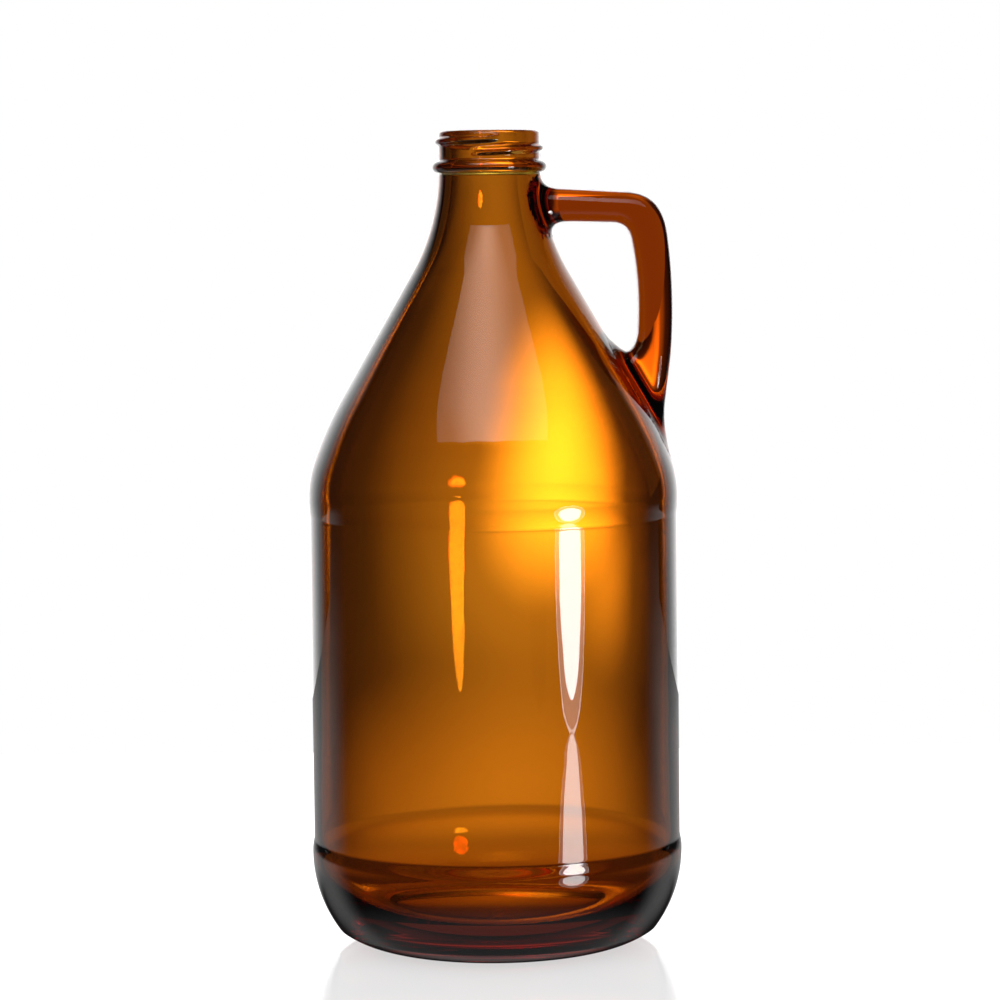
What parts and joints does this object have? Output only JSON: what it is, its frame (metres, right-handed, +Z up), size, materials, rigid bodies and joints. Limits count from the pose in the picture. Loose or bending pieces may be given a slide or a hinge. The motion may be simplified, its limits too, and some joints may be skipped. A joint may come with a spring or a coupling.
{
  "type": "growler jug",
  "caption": "Moulded amber glass jug with a finger-loop handle, straight cone shoulder, recessed label panel and an open screw neck.",
  "frame": {"origin": "centre of the base, on the plane that the jug stands on", "axes": "+Z up along the jug's axis, towards the mouth; +X from the axis towards the handle"},
  "size_m": [0.1272, 0.1272, 0.278],
  "materials": {
    "amber_glass": "clear polished amber glass"
  },
  "bodies": {
    "root": {"base": "amber_glass", "heel": "amber_glass", "label_panel": "amber_glass", "shoulder": "amber_glass", "neck": "amber_glass", "transfer_bead": "amber_glass", "threaded_finish": "amber_glass", "handle": "amber_glass"}
  },
  "joints": []
}
